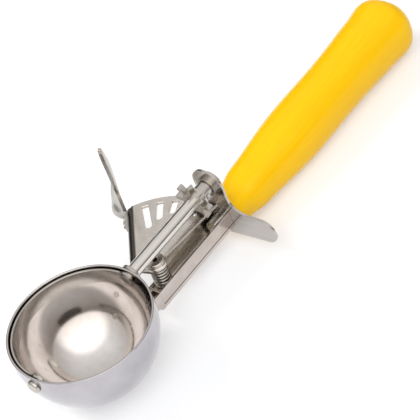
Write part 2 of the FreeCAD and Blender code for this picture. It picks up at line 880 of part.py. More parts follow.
def make_lip():
    """Quarter bend and leg along the left edge, in the edge's own frame."""
    length = "lip_end - lip_start"
    bend_y = "left_offset - lip_bend"
    bend_z = "plate_top - lip_bend"
    outer = rod("LipOuter", "lip_bend", length, "lip_start", bend_y, bend_z)
    inner = rod(
        "LipInner", "lip_bend - plate_thickness", f"{length} + 2 * plate_thickness",
        "lip_start - plate_thickness", bend_y, bend_z,
    )
    quarter = box("LipQuarter", length, "lip_bend", "lip_bend", "lip_start", bend_y, bend_z)
    bend = cut("LipBend", common("LipCorner", outer, quarter), inner)
    leg = box(
        "LipLeg", length, "plate_thickness", "lip_height - lip_bend",
        "lip_start", "left_offset - plate_thickness", "plate_top - lip_height",
    )
    lip = fuse("Lip", bend, leg)
    return place(lip, "pivot_x", turn="left_angle")


def tab_rivet(name, radius, height, along, low, drop):
    """A cylinder square to the lip, in the lip's frame."""
    item = doc.addObject("Part::Cylinder", name)
    item.Placement = Placement(Vector(), Rotation(Vector(1, 0, 0), -90))
    bind(item, Radius=radius, Height=height)
    return place(item, along, low, drop)


def make_stop():
    """A tongue under the plate that rests on the channel's left wall."""
    return box(
        "StopTongue", "stop_length", "plate_thickness", "stop_drop + plate_thickness / 2",
        "pivot_x + stop_along", "channel_bore - seat_gap - plate_thickness", "plate_low - stop_drop",
    )


TAB_RIVETS = ("tab_rivet_outer", "tab_rivet_inner")


def make_lever():
    hole = post(
        "PivotHole", "post_radius + running_gap", "3 * plate_thickness",
        "pivot_x", "0", "plate_low - plate_thickness",
    )
    holes = []
    for number, back in enumerate(TAB_RIVETS, start=1):
        drill = tab_rivet(
            f"LipHole{number}", "tab_rivet_radius + seat_gap", "4 * plate_thickness",
            f"lip_end - {back}", "left_offset - 2 * plate_thickness", "rivet_drop",
        )
        holes.append(drill)
    drills = place(fuse("LipHoles", *holes), "pivot_x", turn="left_angle")
    hub = post("PlateHub", "plate_hub", "plate_thickness", "pivot_x", "0", "plate_low")
    solid = fuse("LeverSolid", make_fan(), hub, make_lip(), make_stop())
    return cut("Lever", solid, hole, drills, *make_slots())


node("lever_plate", make_lever())


# Thumb tab: sections from its foot on the lip up to its rounded tip

def tab_section(height, near, middle, far):
    """A curved strip of the tab's thickness, given as (along, out) points at one height."""
    half = size("tab_thickness") / 2
    chord = Vector(far[0] - near[0], far[1] - near[1], 0)
    aside = Vector(-chord.y, chord.x, 0).normalize() * half
    points = [Vector(x, y, height) for x, y in (near, middle, far)]
    outer = [p + aside for p in points]
    inner = [p - aside for p in points]
    edges = [
        Part.Arc(*outer).toShape(),
        Part.LineSegment(outer[2], inner[2]).toShape(),
        Part.Arc(*reversed(inner)).toShape(),
        Part.LineSegment(inner[0], outer[0]).toShape(),
    ]
    return Part.Wire(edges)


# Each station: share of the height, then near, middle and far points of the strip,
# as shares of the reach past the lip's end and of the flare away from the lip
TAB_STATIONS = (
    (0.0, (0.0, 0.0), (0.28, 0.7), (0.92, 0.92)),
    (0.16, (0.14, 0.03), (0.42, 0.52), (0.95, 0.82)),
    (0.34, (0.3, 0.08), (0.66, 0.16), (0.98, 0.46)),
    (0.52, (0.3, 0.08), (0.66, 0.06), (1.0, 0.16)),
    (0.7, (0.3, 0.08), (0.6, 0.02), (0.9, 0.06)),
    (0.86, (0.32, 0.08), (0.54, 0.02), (0.74, 0.04)),
    (0.96, (0.37, 0.08), (0.5, 0.03), (0.62, 0.05)),
    (1.0, (0.43, 0.08), (0.49, 0.04), (0.55, 0.06)),
)


def make_tab():
    end = size("lip_end")
    face = size("left_offset") + size("tab_thickness") / 2
    low = size("plate_top - lip_height")
    tall = size("tab_height") - low
    reach = size("tab_reach")
    flare = size("tab_flare")
    sections = []
    for share, *points in TAB_STATIONS:
        spots = [(end + along * reach, face + out * flare) for along, out in points]
        sections.append(tab_section(low + tall * share, *spots))
    tongue = Part.makeLoft(sections, True)
    foot = end - size("tab_foot")
    strap = Part.makeBox(
        size("tab_foot + tab_thickness / 2"), size("tab_thickness"), size("lip_height - lip_bend"),
        Vector(foot, size("left_offset"), low),
    )
    holes = [
        Part.makeCylinder(
            size("tab_rivet_radius + seat_gap"), size("4 * tab_thickness"),
            Vector(end - size(back), size("left_offset - tab_thickness"), size("rivet_drop")),
            Vector(0, 1, 0),
        )
        for back in TAB_RIVETS
    ]
    solid = tongue.fuse(strap).cut(Part.Compound(holes)).removeSplitter()
    return shaped("ThumbTab", solid, LEVER)


node("thumb_tab", make_tab())


def make_tab_rivets():
    rivets = []
    for number, back in enumerate(TAB_RIVETS, start=1):
        along = f"lip_end - {back}"
        name = f"TabRivet{number}"
        inside = "left_offset - plate_thickness"
        shank = tab_rivet(
            name + "Shank", "tab_rivet_radius", "plate_thickness + tab_thickness",
            along, inside, "rivet_drop",
        )
        head = tab_rivet(
            name + "Head", "tab_rivet_head", "tab_rivet_height",
            along, "left_offset + tab_thickness", "rivet_drop",
        )
        tail = tab_rivet(
            name + "Tail", "tab_rivet_tail", "tab_rivet_height",
            along, f"{inside} - tab_rivet_height", "rivet_drop",
        )
        rivets.append(fuse(name, shank, head, tail))
    return place(fuse("TabRivets", *rivets), "pivot_x", turn="left_angle")


node("tab_rivets", make_tab_rivets())


# Spindle group: everything here turns about the X axis



def make_pinion():
    """Eight blunt fingers on a disc, with a sleeve towards the guard."""
    body = doc.addObject("PartDesign::Body", "PinionBody")
    disc = attach(body, "PinionDisc", "YZ_Plane")
    disc.addGeometry(Part.Circle(Vector(), UP, size("tooth_root")))
    disc.addConstraint(Sketcher.Constraint("Coincident", 0, 3, -1, 1))
    constrain(disc, "tooth_root", "Radius", 0, size("tooth_root"))
    core = body.newObject("PartDesign::Pad", "PinionCore")
    core.Profile = disc
    bind(core, Length="pinion_length")
    finger = attach(body, "FingerOutline", "YZ_Plane")
    half = size("tooth_width") / 2
    reach = size("tooth_reach")
    root = size("tooth_root - tooth_width / 2")
    straight = reach - half
    finger.addGeometry(Part.LineSegment(Vector(-half, straight, 0), Vector(-half, root, 0)))
    finger.addGeometry(Part.LineSegment(Vector(-half, root, 0), Vector(half, root, 0)))
    finger.addGeometry(Part.LineSegment(Vector(half, root, 0), Vector(half, straight, 0)))
    finger.addGeometry(Part.ArcOfCircle(Part.Circle(Vector(0, straight, 0), UP, half), 0, math.pi))
    for pair in ((0, 2, 1, 1), (1, 2, 2, 1)):
        finger.addConstraint(Sketcher.Constraint("Coincident", *pair))
    finger.addConstraint(Sketcher.Constraint("Tangent", 2, 2, 3, 1))
    finger.addConstraint(Sketcher.Constraint("Tangent", 3, 2, 0, 1))
    finger.addConstraint(Sketcher.Constraint("Vertical", 0))
    finger.addConstraint(Sketcher.Constraint("Horizontal", 1))
    finger.addConstraint(Sketcher.Constraint("PointOnObject", 3, 3, -2))
    constrain(finger, "tooth_width / 2", "Radius", 3, half)
    constrain(finger, "tooth_reach - tooth_width / 2", "DistanceY", -1, 1, 3, 3, straight)
    constrain(finger, "tooth_root - tooth_width / 2", "DistanceY", -1, 1, 0, 2, root)
    tooth = body.newObject("PartDesign::Pad", "Finger")
    tooth.Profile = finger
    bind(tooth, Length="pinion_length")
    doc.recompute()
    wheel = body.newObject("PartDesign::PolarPattern", "Fingers")
    wheel.Originals = [tooth]
    wheel.Axis = (disc, ["N_Axis"])
    wheel.Angle = 360
    bind(wheel, Occurrences="teeth")
    body.Tip = wheel
    body.Placement = Placement(Vector(), Rotation(Vector(1, 0, 0), TOOTH_PHASE))
    place(body, "pinion_x")
    hub = rod("PinionHub", "hub_radius", "hub_length", "hub_start")
    bore = rod(
        "PinionBore", "spindle_radius + seat_gap",
        "hub_start + hub_length - pinion_x + 2 * hub_gap", "pinion_x - hub_gap",
    )
    pin = cross_pin("PinionPinHole", "pin_radius + seat_gap", "4 * hub_radius")
    return cut("Pinion", fuse("PinionSolid", body, hub, flange_join()), bore, pin)


def flange_join():
    """A boss that carries the hub through the flange disc."""
    return rod(
        "PinionBoss", "hub_radius", "flange_thickness + 2 * seat_gap",
        "pinion_x + pinion_length - seat_gap",
    )


def cross_pin(name, radius, length):
    """A cylinder across the hub, square to the spindle."""
    item = doc.addObject("Part::Cylinder", name)
    item.Placement = Placement(Vector(), Rotation(Vector(1, 0, 0), -90))
    bind(item, Radius=radius, Height=length)
    return place(item, "hub_start + hub_length / 2", f"0 - ({length}) / 2", "0")


# The lowest finger stands in the first slot at rest
TOOTH_PHASE = 180 + size("gear_ratio * slot_first")

node("pinion", make_pinion())
node("pinion_flange", cut(
    "PinionFlange",
    rod("FlangeDisc", "flange_radius", "flange_thickness", "pinion_x + pinion_length"),
    rod(
        "FlangeBore", "hub_radius + seat_gap", "3 * flange_thickness",
        "pinion_x + pinion_length - flange_thickness",
    ),
))
node("pinion_pin", cross_pin("PinionPin", "pin_radius", "2 * (hub_radius + pin_past)"))


def make_spindle():
    """A bar from the scraper's inner face to the clip, drilled for the pinion's pin."""
    start = "(scraper_in - spindle_peen)"
    bar = rod("SpindleBar", "spindle_radius", f"spindle_end - {start}", start)
    return cut("Spindle", bar, cross_pin("SpindlePinHole", "pin_radius + seat_gap", "4 * spindle_radius"))


node("spindle", make_spindle())
node("spindle_clip", cut(
    "SpindleClip",
    rod("ClipDisc", "spindle_radius + clip_wall", "clip_thickness", "clip_x"),
    rod("ClipBore", "spindle_radius + seat_gap", "3 * clip_thickness", "clip_x - clip_thickness"),
))


# Scraper: half a ring under the rim, with an eye at each end

def make_scraper():
    shell = cut("ScraperShell", ball("ScraperOuter", "scraper_out"), ball("ScraperInner", "scraper_in"))
    band = box(
        "ScraperBand", "2 * bowl_radius", "bowl_radius", "scraper_width",
        "0 - bowl_radius", "0", "0 - scraper_width / 2",
    )
    eyes = rod("ScraperEyes", "scraper_eye", "2 * bowl_radius", "0 - bowl_radius")
    blank = common("ScraperBlank", shell, fuse("ScraperOutline", band, eyes))
    back_hole = rod("ScraperDriveHole", "spindle_radius + seat_gap", "bowl_radius", "0")
    front_hole = rod("ScraperStudHole", "stud_radius + running_gap", "bowl_radius", "0 - bowl_radius")
    return cut("Scraper", blank, back_hole, front_hole)


node("scraper_blade", make_scraper())


# Tip stud: a domed button outside the bowl, a shank and a small head inside

def make_stud():
    shank = rod(
        "StudShank", "stud_radius",
        "bowl_radius + button_height / 2 - scraper_in + stud_gap + stud_head_height",
        "0 - bowl_radius - button_height / 2",
    )
    head = rod("StudHead", "stud_radius + stud_head", "stud_head_height", "stud_gap - scraper_in")
    button = rod("StudButton", "button_radius", "button_height", "0 - bowl_radius - button_height - seat_gap")
    doc.recompute()
    dome = doc.addObject("Part::Fillet", "StudDome")
    dome.Base = button
    outer_x = -size("bowl_radius + button_height + seat_gap")
    dome.Edges = [
        (number, size("button_round"), size("button_round"))
        for number, edge in enumerate(button.Shape.Edges, start=1)
        if edge.BoundBox.XMax < outer_x + 1e-4
    ]
    return fuse("TipStud", shank, head, dome)


node("tip_stud", make_stud())


# Check every object, then write one file for each node

doc.recompute()
faulty = [item.Name for item in doc.Objects if {"Invalid", "Error"} & set(item.State)]
if faulty:
    raise RuntimeError(f"failed objects: {faulty}")
for name, item in NODES.items():
    shape = item.Shape
    if shape.isNull() or not shape.isValid():
        raise RuntimeError(f"{name} has no valid shape")
for name, item in NODES.items():
    solids = item.Shape.Solids
    box_size = item.Shape.BoundBox
    print(f"{name}: {len(solids)} solid, volume {item.Shape.Volume:.1f},"
          f" x {box_size.XMin:.1f}..{box_size.XMax:.1f} z {box_size.ZMin:.1f}..{box_size.ZMax:.1f}")
    item.Shape.exportStep(f"parts/{name}.step")
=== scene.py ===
import math

import bmesh
import bpy
from mathutils import Matrix, Vector


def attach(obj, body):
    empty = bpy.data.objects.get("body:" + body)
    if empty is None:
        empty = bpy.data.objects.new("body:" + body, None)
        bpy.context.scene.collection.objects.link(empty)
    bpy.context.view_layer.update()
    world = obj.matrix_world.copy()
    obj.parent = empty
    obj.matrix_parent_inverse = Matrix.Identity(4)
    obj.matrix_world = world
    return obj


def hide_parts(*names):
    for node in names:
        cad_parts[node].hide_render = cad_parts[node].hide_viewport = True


# Lever ice cream scoop, all steel but for its yellow handle.
# Metres; the spindle lies along X at z = 0, and the bowl's centre is the origin.

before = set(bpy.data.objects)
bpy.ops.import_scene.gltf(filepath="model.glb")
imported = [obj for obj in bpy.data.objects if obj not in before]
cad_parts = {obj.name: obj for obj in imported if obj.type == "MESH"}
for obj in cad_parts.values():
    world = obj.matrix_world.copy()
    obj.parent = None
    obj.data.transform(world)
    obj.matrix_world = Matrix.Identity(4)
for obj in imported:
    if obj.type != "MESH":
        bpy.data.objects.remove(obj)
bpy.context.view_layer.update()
MM = 0.001


# Bowl: a hemisphere spun from 0.9 mm stainless sheet, with a short straight rim.
# The lathe roller leaves fine rings round its upright axis, and buffing dulls them to a
# soft mirror: satin enough to blur what it reflects, with the rings just showing.

def colour(code):
    """An sRGB hex colour as the linear colour that a socket takes."""
    levels = [int(code[i:i + 2], 16) / 255 for i in (1, 3, 5)]
    linear = [v / 12.92 if v <= 0.04045 else ((v + 0.055) / 1.055) ** 2.4 for v in levels]
    return (*linear, 1.0)


def add(material, kind, inputs=None, **settings):
    """Add a node. Inputs are numbers, colours, or other nodes' outputs to link."""
    node = material.node_tree.nodes.new(kind)
    for name, value in settings.items():
        setattr(node, name, value)
    for name, value in (inputs or {}).items():
        socket = node.inputs[name]
        if isinstance(value, bpy.types.NodeSocket):
            material.node_tree.links.new(value, socket)
        else:
            socket.default_value = value
    return node


def start_material(name):
    """An empty node material, and the point on the piece in its own metres."""
    material = bpy.data.materials.new(name)
    material.use_nodes = True
    material.node_tree.nodes.clear()
    return material, add(material, "ShaderNodeTexCoord").outputs["Object"]


def surface(material, inputs):
    """Close a material with its shader and output."""
    shader = add(material, "ShaderNodeBsdfPrincipled", inputs)
    add(material, "ShaderNodeOutputMaterial", {"Surface": shader.outputs["BSDF"]})
    return material


def ramp(material, value, stops):
    """A colour ramp from (place, hex) stops."""
    node = add(material, "ShaderNodeValToRGB", {"Fac": value})
    points = node.color_ramp.elements
    while len(points) < len(stops):
        points.new(0.5)
    for point, (place, code) in zip(points, stops):
        point.position = place
        point.color = colour(code)
    return node.outputs["Color"]


def give(node, material):
    """Put a material on a piece that keeps its CAD shape."""
    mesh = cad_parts[node].data
    mesh.materials.clear()
    mesh.materials.append(material)


def spun_stainless():
    """Buffed rings round the upright axis, and painted shade: an outside darker and cooler than the
    inside.
    """
    # Real roller rings are about 0.3 mm apart. They are drawn at 0.7 mm, so that they show.
    ring_spacing = 0.7 * MM
    ring_radius = 27.0 * MM
    smudge_size = 9 * MM
    middle_of_wall = 26.8 * MM
    material, point = start_material("buffed_spun_stainless")
    parts = add(material, "ShaderNodeSeparateXYZ", {"Vector": point})
    flat = add(
        material, "ShaderNodeCombineXYZ", {"X": parts.outputs["X"], "Y": parts.outputs["Y"]},
    )
    out = add(material, "ShaderNodeVectorMath", {0: flat.outputs["Vector"]}, operation="LENGTH")
    down = add(
        material, "ShaderNodeMath", {0: parts.outputs["Z"], 1: -1.0}, operation="MULTIPLY",
    )
    angle = add(
        material, "ShaderNodeMath", {0: out.outputs["Value"], 1: down.outputs["Value"]},
        operation="ARCTAN2",
    )
    along = add(
        material, "ShaderNodeMath", {0: angle.outputs["Value"], 1: ring_radius / ring_spacing},
        operation="MULTIPLY",
    )
    rings = add(
        material, "ShaderNodeTexNoise",
        {"W": along.outputs["Value"], "Scale": 1.0, "Detail": 2.0}, noise_dimensions="1D",
    )
    smudge = add(
        material, "ShaderNodeTexNoise",
        {"Vector": point, "Scale": 1 / smudge_size, "Detail": 3.0, "Roughness": 0.6},
    )
    inside = ramp(material, smudge.outputs["Fac"], [(0.3, "#C3BDB9"), (0.7, "#D0CBC8")])
    # The outside's colour is painted darker and cooler: painted shade for the dimmer floor it
    # mirrors.
    outside = ramp(material, smudge.outputs["Fac"], [(0.3, "#B4B0B4"), (0.7, "#BFBCC0")])
    low = add(
        material, "ShaderNodeMath", {0: parts.outputs["Z"], 1: 0.0}, operation="MINIMUM",
    )
    spoke = add(
        material, "ShaderNodeCombineXYZ",
        {"X": parts.outputs["X"], "Y": parts.outputs["Y"], "Z": low.outputs["Value"]},
    )
    depth = add(
        material, "ShaderNodeVectorMath", {0: spoke.outputs["Vector"]}, operation="LENGTH",
    )
    outer_face = add(
        material, "ShaderNodeMath", {0: depth.outputs["Value"], 1: middle_of_wall},
        operation="GREATER_THAN",
    )
    shade = add(
        material, "ShaderNodeMix",
        {0: outer_face.outputs["Value"], 6: inside, 7: outside}, data_type="RGBA",
    )
    haze = add(
        material, "ShaderNodeMapRange",
        {
            "Value": rings.outputs["Fac"], "From Min": 0.3, "From Max": 0.7,
            "To Min": 0.08, "To Max": 0.13,
        },
    )
    relief = add(
        material, "ShaderNodeBump",
        {"Height": rings.outputs["Fac"], "Strength": 0.1, "Distance": 0.02 * MM},
    )
    return surface(material, {
        "Base Color": shade.outputs[2], "Metallic": 1.0, "Roughness": haze.outputs["Result"],
        "Normal": relief.outputs["Normal"],
    })


give("bowl", spun_stainless())


# Rivets and pins: four solid stainless rivets hold the saddle to the bowl and two the thumb
# tab. A button stud at the bowl's tip carries the scraper, and a rolled eyelet tops the post.
# Their hammered heads are slightly dimpled, so they break up what they mirror.

def peened_stainless():
    """Hammered steel, with dimples and a patchy dulling."""
    dimple = 0.5 * MM
    tarnish_size = 1.5 * MM
    material, point = start_material("hammered_rivet_stainless")
    blows = add(
        material, "ShaderNodeTexVoronoi", {"Vector": point, "Scale": 1 / dimple},
        feature="SMOOTH_F1",
    )
    tarnish = add(
        material, "ShaderNodeTexNoise",
        {"Vector": point, "Scale": 1 / tarnish_size, "Detail": 2.0},
    )
    relief = add(
        material, "ShaderNodeBump",
        {"Height": blows.outputs["Distance"], "Strength": 0.25, "Distance": 0.04 * MM},
    )
    haze = add(
        material, "ShaderNodeMapRange",
        {"Value": tarnish.outputs["Fac"], "To Min": 0.16, "To Max": 0.34},
    )
    return surface(material, {
        "Base Color": ramp(material, tarnish.outputs["Fac"], [(0.3, "#B4AFA8"), (0.75, "#C8C3BC")]),
        "Metallic": 1.0, "Roughness": haze.outputs["Result"], "Normal": relief.outputs["Normal"],
    })


rivet_steel = peened_stainless()
for name in ("saddle_rivets", "tab_rivets", "tip_stud", "pivot_eyelet"):
    give(name, rivet_steel)


# Saddle: a 1.2 mm stainless plate dished to the bowl and riveted to it, with a neck to the
# channel. Rolled sheet, tumbled after pressing, so its cut edges are eased and catch light.

def eased(name, body, edge=0.12 * MM, clamp=False):
    """A copy of a pressed piece with its cut edges eased by tumbling."""
    weld = 0.001 * MM
    flat_within = math.radians(0.6)
    edge_from = math.radians(40)
    crease_from = math.radians(28)
    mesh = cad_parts[name].data.copy()
    mesh.materials.clear()
    shell = bmesh.new()
    shell.from_mesh(mesh)
    bmesh.ops.remove_doubles(shell, verts=shell.verts, dist=weld)
    bmesh.ops.dissolve_limit(
        shell, angle_limit=flat_within, verts=shell.verts, edges=shell.edges,
    )
    shell.to_mesh(mesh)
    shell.free()
    piece = bpy.data.objects.new(name + "_eased", mesh)
    bpy.context.scene.collection.objects.link(piece)
    bevel = piece.modifiers.new("Eased", "BEVEL")
    bevel.width = edge
    bevel.segments = 1
    bevel.limit_method = "ANGLE"
    bevel.angle_limit = edge_from
    bevel.use_clamp_overlap = clamp
    evaluated = piece.evaluated_get(bpy.context.evaluated_depsgraph_get())
    made = bpy.data.meshes.new_from_object(evaluated)
    piece.modifiers.clear()
    piece.data = made
    made.polygons.foreach_set("use_smooth", [True] * len(made.polygons))
    made.set_sharp_from_angle(angle=crease_from)
    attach(piece, body)
    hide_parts(name)
    return piece


def rolled_stainless(name, grain_along, shades, haze_low, haze_high):
    """Stainless sheet with the fine straight grain of its rolling."""
    # Real grain is about 0.05 mm wide. It is drawn at 0.25 mm, so that it shows.
    grain_width = 0.25 * MM
    grain_length = 14 * MM
    wear_size = 5 * MM
    material, point = start_material(name)
    grain_size = dict.fromkeys("XYZ", grain_width)
    grain_size[grain_along] = grain_length
    lines = add(
        material, "ShaderNodeMapping",
        {"Vector": point, "Scale": [1 / grain_size[axis] for axis in "XYZ"]},
    )
    grain = add(
        material, "ShaderNodeTexNoise",
        {"Vector": lines.outputs["Vector"], "Scale": 1.0, "Detail": 2.0},
    )
    wear = add(
        material, "ShaderNodeTexNoise", {"Vector": point, "Scale": 1 / wear_size, "Detail": 3.0},
    )
    haze = add(
        material, "ShaderNodeMapRange",
        {
            "Value": grain.outputs["Fac"], "From Min": 0.3, "From Max": 0.7,
            "To Min": haze_low, "To Max": haze_high,
        },
    )
    relief = add(
        material, "ShaderNodeBump",
        {"Height": grain.outputs["Fac"], "Strength": 0.02, "Distance": 0.01 * MM},
    )
    return surface(material, {
        "Base Color": ramp(material, wear.outputs["Fac"], [(0.3, shades[0]), (0.7, shades[1])]),
        "Metallic": 1.0, "Roughness": haze.outputs["Result"], "Normal": relief.outputs["Normal"],
    })


sheet_shades = ("#C3B8B1", "#CFC5BF")
saddle = eased("bowl_saddle", "frame")
saddle.data.materials.append(
    rolled_stainless("rolled_stainless_sheet", "X", sheet_shades, 0.14, 0.24)
)


# Channel: the same sheet folded into an open trough under the spindle, which carries the
# lever's post and the spring. A thin dark line is painted along the fold, where the round begins:
# a painted reflection of the shadowed floor. The inside is painted paler, as painted light, and is
# duller, so it mirrors them softly.

def darken(material, amount, code):
    """Lay a darker colour over a material's own, by a mask from 0 to 1."""
    shader = material.node_tree.nodes["Principled BSDF"]
    own_shade = shader.inputs["Base Color"].links[0].from_socket
    shade = add(
        material, "ShaderNodeMix", {0: amount, 6: own_shade, 7: colour(code)}, data_type="RGBA",
    )
    material.node_tree.links.new(shade.outputs[2], shader.inputs["Base Color"])


def folded_stainless():
    """Rolled sheet with a painted dark line along the fold of each wall: a painted reflection."""
    fold_height = -18.2 * MM
    half_line = 0.25 * MM
    material = rolled_stainless("folded_stainless_painted_line", "X", sheet_shades, 0.14, 0.24)
    point = add(material, "ShaderNodeTexCoord").outputs["Object"]
    height = add(material, "ShaderNodeSeparateXYZ", {"Vector": point}).outputs["Z"]
    painted_reflection_line = add(
        material, "ShaderNodeMath", {0: height, 1: fold_height, 2: half_line},
        operation="COMPARE",
    )
    # Painted reflection: the line stands in for the shadowed floor that the fold's round mirrors.
    darken(material, painted_reflection_line.outputs["Value"], "#5E524C")
    return material


channel = eased("channel_frame", "frame")
channel.data.materials.append(folded_stainless())
# The inside's second sheet colour is far paler: painted light that lifts the trough's shade.
channel.data.materials.append(
    rolled_stainless("dull_rolled_stainless_painted_light", "X", ("#F2E9DE", "#FAF4EC"), 0.18, 0.32)
)
# A face belongs to the inside where it looks toward the trough's axis.
trough_axis = Vector((0.0, 0.0, -18.0)) * MM
least_facing = 0.3
for face in channel.data.polygons:
    inward = trough_axis - face.center
    inward.x = 0.0
    if face.normal.dot(inward) > least_facing * inward.length:
        face.material_index = 1


# Bushes and clip: turned stainless collars pressed into the bowl and the guard for the
# spindle, and the ring that keeps it in the guard. Turning leaves fine rings round them,
# which draw their highlights out to a satin band.

def turned_stainless(name, axis, shades, haze_low, haze_high):
    """Turned or ground bar: fine rings across its own axis."""
    # Real tool rings are about 0.1 mm apart. They are drawn at 0.45 mm, so that they show.
    ring_width = 0.45 * MM
    material, point = start_material(name)
    parts = add(material, "ShaderNodeSeparateXYZ", {"Vector": point})
    along = add(
        material, "ShaderNodeMath", {0: parts.outputs[axis], 1: 1 / ring_width},
        operation="MULTIPLY",
    )
    rings = add(
        material, "ShaderNodeTexNoise",
        {"W": along.outputs["Value"], "Scale": 1.0, "Detail": 1.0}, noise_dimensions="1D",
    )
    haze = add(
        material, "ShaderNodeMapRange",
        {
            "Value": rings.outputs["Fac"], "From Min": 0.3, "From Max": 0.7,
            "To Min": haze_low, "To Max": haze_high,
        },
    )
    relief = add(
        material, "ShaderNodeBump",
        {"Height": rings.outputs["Fac"], "Strength": 0.008, "Distance": 0.01 * MM},
    )
    return surface(material, {
        "Base Color": ramp(material, rings.outputs["Fac"], [(0.35, shades[0]), (0.65, shades[1])]),
        "Metallic": 1.0, "Roughness": haze.outputs["Result"], "Normal": relief.outputs["Normal"],
    })


bush_steel = turned_stainless("turned_bush_stainless", "X", ("#ADA8A0", "#BDB8B0"), 0.2, 0.3)
for name in ("bowl_bush", "guard_bush", "spindle_clip"):
    give(name, bush_steel)


# Guard: a 1 mm stainless plate with a finger wing, across the front of the handle. It is
# polished bright all over, so it mirrors the studio, a little blurred by faint scratches.

def mirror_stainless():
    """Polished plate, with a slow ripple and the marks of the polishing mop."""
    scratch_size = (2 * MM, 12 * MM, 0.4 * MM)
    scratch_lean = 0.5
    ripple_size = 7 * MM
    material, point = start_material("mirror_polished_stainless")
    fine = add(
        material, "ShaderNodeMapping",
        {
            "Vector": point, "Rotation": (scratch_lean, 0.0, 0.0),
            "Scale": [1 / size for size in scratch_size],
        },
    )
    scratches = add(
        material, "ShaderNodeTexNoise",
        {"Vector": fine.outputs["Vector"], "Scale": 1.0, "Detail": 2.0},
    )
    ripple = add(
        material, "ShaderNodeTexNoise",
        {"Vector": point, "Scale": 1 / ripple_size, "Detail": 1.0},
    )
    haze = add(
        material, "ShaderNodeMapRange",
        {
            "Value": scratches.outputs["Fac"], "From Min": 0.35, "From Max": 0.7,
            "To Min": 0.15, "To Max": 0.2,
        },
    )
    relief = add(
        material, "ShaderNodeBump",
        {"Height": ripple.outputs["Fac"], "Strength": 0.05, "Distance": 0.15 * MM},
    )
    return surface(material, {
        "Base Color": ramp(material, scratches.outputs["Fac"], [(0.3, "#B9B4AF"), (0.7, "#C4C0BC")]),
        "Metallic": 1.0, "Roughness": haze.outputs["Result"], "Normal": relief.outputs["Normal"],
    })


guard = eased("guard_plate", "frame", edge=0.15 * MM)
guard.data.materials.append(mirror_stainless())


# Handle: yellow polypropylene, injection moulded and glossy. The melt leaves long faint
# streaks from end to end, and light goes a little way into it, so its shade turns orange.

def moulded_yellow():
    """Glossy yellow plastic with flow streaks and a fine skin from the mould."""
    streak_length = 90 * MM
    streak_width = 1.6 * MM
    skin_size = 0.8 * MM
    skin_share = 0.25
    material, point = start_material("yellow_moulded_polypropylene")
    long = add(
        material, "ShaderNodeMapping",
        {"Vector": point, "Scale": (1 / streak_length, 1 / streak_width, 1 / streak_width)},
    )
    flow = add(
        material, "ShaderNodeTexNoise",
        {"Vector": long.outputs["Vector"], "Scale": 1.0, "Detail": 2.0},
    )
    skin = add(
        material, "ShaderNodeTexNoise", {"Vector": point, "Scale": 1 / skin_size, "Detail": 1.0},
    )
    dents = add(
        material, "ShaderNodeMath", {0: skin.outputs["Fac"], 1: skin_share},
        operation="MULTIPLY",
    )
    height = add(
        material, "ShaderNodeMath", {0: flow.outputs["Fac"], 1: dents.outputs["Value"]},
        operation="ADD",
    )
    haze = add(
        material, "ShaderNodeMapRange",
        {
            "Value": flow.outputs["Fac"], "From Min": 0.3, "From Max": 0.7,
            "To Min": 0.2, "To Max": 0.25,
        },
    )
    relief = add(
        material, "ShaderNodeBump",
        {"Height": height.outputs["Value"], "Strength": 0.1, "Distance": 0.04 * MM},
    )
    return surface(material, {
        "Base Color": ramp(material, flow.outputs["Fac"], [(0.3, "#FFC400"), (0.7, "#FFCA02")]),
        "Roughness": haze.outputs["Result"], "IOR": 1.49, "Specular IOR Level": 0.2,
        "Normal": relief.outputs["Normal"], "Subsurface Weight": 0.35,
        "Subsurface Radius": (1.0, 0.4, 0.05), "Subsurface Scale": 3.5 * MM,
    })


give("handle_grip", moulded_yellow())


# Tang, spindle, post and washer: bright drawn and ground bar, and a stamped washer. The
# spindle runs from the bowl through the guard and turns the scraper; its ground finish is
# satin, with rings round it.

give("handle_tang", turned_stainless("bright_drawn_bar", "X", ("#B0ABA4", "#BDB8B1"), 0.22, 0.3))
give("spindle", turned_stainless("ground_spindle_stainless", "X", ("#D6D2CD", "#DAD6D1"), 0.13, 0.18))
give("pivot_post", turned_stainless("ground_post_stainless", "Z", ("#A9A39A", "#BDB7AE"), 0.2, 0.3))
give(
    "pivot_washer",
    turned_stainless("stamped_washer_stainless", "Z", ("#B0AAA1", "#C0BAB1"), 0.24, 0.34),
)


# Spring: five turns of 1 mm spring wire round the post, hard drawn and slightly darker than
# the sheet. Fine drawing marks break its highlights up to a soft glint.

def spring_wire():
    """Drawn wire with small marks all over."""
    mark_size = 0.6 * MM
    material, point = start_material("hard_drawn_spring_wire")
    marks = add(
        material, "ShaderNodeTexNoise", {"Vector": point, "Scale": 1 / mark_size, "Detail": 3.0},
    )
    haze = add(
        material, "ShaderNodeMapRange",
        {
            "Value": marks.outputs["Fac"], "From Min": 0.3, "From Max": 0.7,
            "To Min": 0.16, "To Max": 0.3,
        },
    )
    relief = add(
        material, "ShaderNodeBump",
        {"Height": marks.outputs["Fac"], "Strength": 0.15, "Distance": 0.01 * MM},
    )
    return surface(material, {
        "Base Color": ramp(material, marks.outputs["Fac"], [(0.3, "#9F9A93"), (0.7, "#B9B4AD")]),
        "Metallic": 1.0, "Roughness": haze.outputs["Result"], "Normal": relief.outputs["Normal"],
    })


give("torsion_spring", spring_wire())
